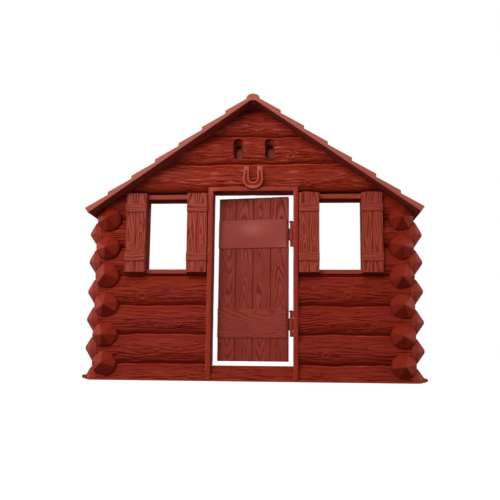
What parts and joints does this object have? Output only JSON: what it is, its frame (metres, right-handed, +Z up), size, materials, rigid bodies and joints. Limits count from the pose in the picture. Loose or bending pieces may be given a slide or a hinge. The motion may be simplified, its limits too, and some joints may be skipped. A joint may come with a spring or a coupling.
{
  "type": "toy fort cabin front",
  "caption": "Log cabin front of a toy fort, with a swinging plank door, shuttered windows, loopholes, a horseshoe and a stepped shingle roof.",
  "frame": {"origin": "on the ground, half way along the front and half way through the wall", "axes": "+X along the front to the viewer's right, +Y from the front to the back, +Z up"},
  "size_m": [0.189, 0.029, 0.1582],
  "materials": {
    "red_brown_plastic": "satin moulded plastic with a log grain",
    "door_plastic": "satin moulded plastic with a plank grain",
    "shutter_plastic": "satin moulded plastic with a plank grain",
    "roof_plastic": "satin moulded plastic"
  },
  "bodies": {
    "cabin": {"front_wall": "red_brown_plastic", "left_corner_post": "red_brown_plastic", "right_corner_post": "red_brown_plastic", "foot_strip": "red_brown_plastic", "door_frame": "red_brown_plastic", "upper_hinge_pin": "red_brown_plastic", "lower_hinge_pin": "red_brown_plastic", "left_window_frame": "red_brown_plastic", "right_window_frame": "red_brown_plastic", "left_outer_shutter": "shutter_plastic", "left_inner_shutter": "shutter_plastic", "right_inner_shutter": "shutter_plastic", "right_outer_shutter": "shutter_plastic", "horseshoe": "red_brown_plastic", "gable_backing": "red_brown_plastic", "left_roof": "roof_plastic", "right_roof": "roof_plastic", "ridge_cap": "roof_plastic"},
    "door": {"door_leaf": "door_plastic", "upper_door_band": "door_plastic", "lower_door_band": "door_plastic"}
  },
  "joints": [
    {"name": "door_hinge", "type": "hinge", "parent": "cabin", "child": "door", "pos_m": [0.02115, 0.00035, 0.056], "axis": [0, 0, -1], "range_deg": [-8.3, 82]}
  ]
}
